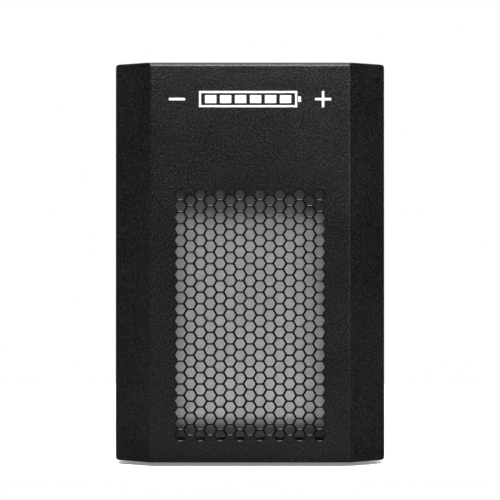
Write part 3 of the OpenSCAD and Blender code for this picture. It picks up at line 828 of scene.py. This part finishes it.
def build_bezel_print():
    """A row of plain battery signs across the top of the bezel."""
    outer, half = (ROW_W - ROW_H) / 2, ROW_H / 2
    shapes = sign_bar(-outer, ROW_Z, ROW_H, 1.3 * MM)
    shapes += sign_battery(-27 * MM, 25 * MM, ROW_Z - half, ROW_Z + half, 1.1 * MM, 6)
    shapes += sign_plus(outer, ROW_Z, ROW_H, 1.3 * MM)
    print_signs("bezel_print", shapes, BEZEL_LOW.y - FILM, "bezel")


def build_rear_print():
    """Signs by the breaker, the sockets and the earth stud."""
    stroke = 0.7 * MM
    size = 4 * MM
    above, below = SOCKET_HIGH_Z + 4 * MM, SOCKET_LOW_Z - 4 * MM
    shapes = sign_bar(BREAKER_X + 9 * MM, above, stroke, size)
    shapes += sign_ring(BREAKER_X - 9 * MM, above, size / 2, stroke)
    for z in (above, below):
        shapes += sign_plus(SOCKET_X - POLE_X, z, size, stroke)
        shapes += sign_direct_current(SOCKET_X, z, 5 * MM, 0.55 * MM)
        shapes += sign_bar(SOCKET_X + POLE_X, z, size, stroke)
    shapes += sign_earth(EARTH_X, EARTH_Z - 13 * MM, 9 * MM, stroke)
    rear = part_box("rear_panel")[1].y
    print_signs("rear_print", shapes, rear + 0.1 * FILM, "cabinet")


def print_signs(name, shapes, y, body):
    """Makes one piece of all the shapes, a film from y towards +Y."""
    bm = bmesh.new()
    add_film(bm, shapes, y, 0.9 * FILM)
    bmesh.ops.recalc_face_normals(bm, faces=bm.faces)
    new_object(name, bm, WHITE_INK, body, angle=20)


# ---------------------------------------------------------------- foam


def foam_sheet(bm, outline, holes, place, low, high, reliefs):
    """A cut foam sheet with soft rims and sides that swell a little between them.

    outline(draw) and each hole(draw) give the sheet's loops drawn in by draw. place(n) gives the
    function that puts (a, b) at n through the thickness. reliefs say how far the low and the high
    face stand out at (a, b).
    """
    thick = high - low
    rim = min(0.6 * MM, thick * 0.25)
    swell = min(0.5 * MM, thick * 0.15)
    turns = [math.radians(30 * k) for k in range(4)]
    curve = [(rim * (1 - math.sin(a)), rim * (1 - math.cos(a))) for a in turns]
    levels = curve + [(0.0, thick / 2)] + [(draw, thick - up) for draw, up in reversed(curve)]
    profile = [
        (draw + swell * (2 * up / thick - 1) ** 2, low + up) for draw, up in levels
    ]
    loops_at = [[shape(draw) for shape in (outline, *holes)] for draw, _ in profile]
    for (lower, upper), (_, n0), (_, n1) in zip(
        zip(loops_at, loops_at[1:]), profile, profile[1:]
    ):
        for a_loop, b_loop in zip(lower, upper):
            a = [bm.verts.new(place(n0)(*p)) for p in a_loop]
            b = [bm.verts.new(place(n1)(*p)) for p in b_loop]
            for k in range(len(a)):
                j = (k + 1) % len(a)
                bm.faces.new((a[k], a[j], b[j], b[k]))
    for face, n, way, relief in (
        (loops_at[0], low, -1, reliefs[0]),
        (loops_at[-1], high, 1, reliefs[1]),
    ):
        fill_region(
            bm,
            lambda a, b: place(n + way * relief(a, b))(a, b),
            face,
            lambda a, b: in_loop(face[0], a, b) and not any(in_loop(h, a, b) for h in face[1:]),
            grid_inside(face),
        )


def in_loop(loop, a, b):
    """Whether (a, b) lies inside a closed loop of points."""
    inside = False
    for (a0, b0), (a1, b1) in zip(loop, loop[1:] + loop[:1]):
        if (b0 > b) != (b1 > b) and a < a0 + (b - b0) / (b1 - b0) * (a1 - a0):
            inside = not inside
    return inside


def grid_inside(loops, step=6 * MM, margin=1.5 * MM):
    """Points for a foam face: an even grid, closer about the gap between the two battery columns."""
    a_low, a_high = min(p[0] for p in loops[0]) + margin, max(p[0] for p in loops[0]) - margin
    b_low, b_high = min(p[1] for p in loops[0]) + margin, max(p[1] for p in loops[0]) - margin
    columns = [a_low + k * step for k in range(int((a_high - a_low) / step) + 1)]
    columns = [a for a in columns if abs(a) > 4.5 * MM] + [k * 0.9 * MM for k in range(-4, 5)]
    rows = [b_low + k * step for k in range(int((b_high - b_low) / step) + 1)]
    holes = [(Vector(loop[0]) + Vector(loop[len(loop) // 2])) / 2 for loop in loops[1:]]
    return [
        (a, b)
        for a in columns
        for b in rows
        if all((Vector((a, b)) - h).length > 6 * MM for h in holes)
    ]


def battery_gap(a, _b):
    """Foam swells into the gap between the two columns of batteries."""
    return 0.9 * MM * max(0.0, 1 - (abs(a) / (3.2 * MM)) ** 2) ** 2


def flat(_a, _b):
    """A face that doesn't stand out."""
    return 0.0


def build_foam():
    """One piece for each foam node, from its CAD box."""
    between = (battery_gap, battery_gap)
    sheets = {
        "front_pad": (at_y, (flat, battery_gap), [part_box("front_pad")], ()),
        "row_spacer_front": (at_y, between, [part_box("row_spacer_front")], ()),
        "row_spacer_rear": (at_y, between, [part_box("row_spacer_rear")], ()),
        "base_pad": (at_z, (flat, flat), [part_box("base_pad")], FOOT_SPOTS),
        "clamp_pads": (at_z, (flat, flat), clamp_pad_boxes(), ()),
    }
    for node, (place, reliefs, boxes, spots) in sheets.items():
        bm = bmesh.new()
        for low, high in boxes:
            if place is at_y:
                a0, a1, b0, b1, n0, n1 = low.x, high.x, low.z, high.z, low.y, high.y
            else:
                a0, a1, b0, b1, n0, n1 = low.x, high.x, low.y, high.y, low.z, high.z

            def outline(draw):
                return rect(a0 + draw, a1 - draw, b0 + draw, b1 - draw, 2 * MM)

            holes = [
                lambda draw, x=x, y=y: circle(x, y, FOOT_HOLE_R + draw) for x, y in spots
            ]
            foam_sheet(bm, outline, holes, place, n0, n1, reliefs)
        bmesh.ops.remove_doubles(bm, verts=bm.verts, dist=SAME)
        bmesh.ops.recalc_face_normals(bm, faces=bm.faces)
        piece = new_object("foam_" + node, bm, MATERIALS["foam_pad"], "cabinet", 60)
        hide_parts(node)


def clamp_pad_boxes():
    """The two pads under the clamp bars, as (low, high) corners."""
    low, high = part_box("clamp_pads")
    depth = CLAMP_PAD_D
    front = (low, Vector((high.x, low.y + depth, high.z)))
    rear = (Vector((low.x, high.y - depth, low.z)), high)
    return [front, rear]


# ---------------------------------------------------------------- CAD nodes


def dress_nodes():
    """Gives each CAD node its slot's material, softened edges and even shading."""
    slots = {part["node"]: part["material_slot"] for part in frame["record"]["subparts"]}
    for name, obj in NODES.items():
        if obj.hide_render:
            continue
        obj.data.materials.clear()
        obj.data.materials.append(MATERIALS[slots[name]])
        size = min(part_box(name)[1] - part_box(name)[0])
        weld = obj.modifiers.new("Join", "WELD")
        weld.merge_threshold = SAME
        flats = obj.modifiers.new("Flats", "DECIMATE")
        flats.decimate_type = "DISSOLVE"
        flats.angle_limit = math.radians(0.5)
        bevel = obj.modifiers.new("Edges", "BEVEL")
        bevel.width = min(0.25 * MM, size * 0.12)
        bevel.segments = 2
        bevel.limit_method = "ANGLE"
        bevel.angle_limit = math.radians(40)
        weighted_normals(obj)
        obj.data.shade_smooth()
        obj.data.set_sharp_from_angle(angle=math.radians(35))


# ---------------------------------------------------------------- studio


def area_light(name, place, target, size, power, spread=180):
    """A soft box at place that faces target, power in watts, its beam spread degrees wide."""
    light = bpy.data.lights.new(name, "AREA")
    light.shape = "RECTANGLE"
    light.size, light.size_y = size
    light.energy = power
    light.spread = math.radians(spread)
    obj = bpy.data.objects.new(name, light)
    obj.location = place
    obj.rotation_euler = (Vector(target) - Vector(place)).to_track_quat("-Z", "Y").to_euler()
    bpy.context.scene.collection.objects.link(obj)
    return obj


def build_floor():
    """A round pale floor that glows faintly, as a light table does, and isn't mirrored in the pack."""
    s = Shader("studio_floor", roughness=0.75, specular=0.2)
    s.bsdf.inputs["Emission Color"].default_value = (1, 1, 1, 1)
    s.bsdf.inputs["Emission Strength"].default_value = 0.25
    s.colour(s.blend(s.noise(0.4, 3.0), (0.91, 0.91, 0.91), (0.94, 0.94, 0.94)))
    s.bump((s.noise(2 * MM, 2.0), 0.02 * MM, 0.2))
    bm = bmesh.new()
    bmesh.ops.create_circle(bm, cap_ends=True, radius=FLOOR_R, segments=96)
    bmesh.ops.translate(bm, vec=(0, FLOOR_Y, 0), verts=bm.verts)
    mesh = bpy.data.meshes.new("studio_floor")
    bm.to_mesh(mesh)
    bm.free()
    mesh.materials.append(s.material)
    floor = bpy.data.objects.new("studio_floor", mesh)
    floor.visible_glossy = False
    bpy.context.scene.collection.objects.link(floor)


def build_world():
    """A surround that is white to the camera and dim as light."""
    world = bpy.data.worlds.new("studio")
    world.use_nodes = True
    nodes, links = world.node_tree.nodes, world.node_tree.links
    seen, light = nodes["Background"], nodes.new("ShaderNodeBackground")
    for background, strength in ((seen, 1.0), (light, 0.04)):
        background.inputs["Color"].default_value = (1, 1, 1, 1)
        background.inputs["Strength"].default_value = strength
    mix, path = nodes.new("ShaderNodeMixShader"), nodes.new("ShaderNodeLightPath")
    links.new(path.outputs["Is Camera Ray"], mix.inputs["Fac"])
    links.new(light.outputs["Background"], mix.inputs[1])
    links.new(seen.outputs["Background"], mix.inputs[2])
    links.new(mix.outputs["Shader"], nodes["World Output"].inputs["Surface"])
    bpy.context.scene.world = world


def build_lights():
    """A key above the camera, a weak fill, a card on the floor, and large lights above and behind."""
    area_light("key", (-0.02, -0.49, 0.48), (0, -0.17, 0.14), (0.5, 0.3), 1.45, 80)
    area_light("fill", (0.55, -0.9, 0.3), (0, -0.17, 0.12), (0.3, 0.3), 1.8)
    card = area_light("floor_card", (0, -0.5, 0.001), (0, -0.5, 1), (1.6, 0.6), 1.5)
    card.visible_camera = False
    for name, x in (("rear_left", -1.3), ("rear_right", 1.3)):
        area_light(name, (x, 1.1, 0.8), (0, 0.1, 0.1), (1.7, 1.3), 16)
    area_light("ceiling", (0, 0.1, 1.9), (0, 0.1, 0), (2.6, 2.6), 44)


def build_camera():
    """Square to the bezel's front, a little above its middle."""
    camera = bpy.data.cameras.new("camera")
    camera.lens = CAMERA_LENS
    camera.sensor_width = 36
    obj = bpy.data.objects.new("camera", camera)
    obj.location = (0, CAMERA_Y, CAMERA_Z)
    obj.rotation_euler = (math.radians(90), 0, 0)
    bpy.context.scene.collection.objects.link(obj)
    bpy.context.scene.camera = obj


build_bezel()
build_bezel_print()
build_rear_print()
build_foam()
dress_nodes()
build_floor()
build_world()
build_lights()
build_camera()
bpy.context.scene.view_settings.view_transform = "Standard"
bpy.context.view_layer.update()
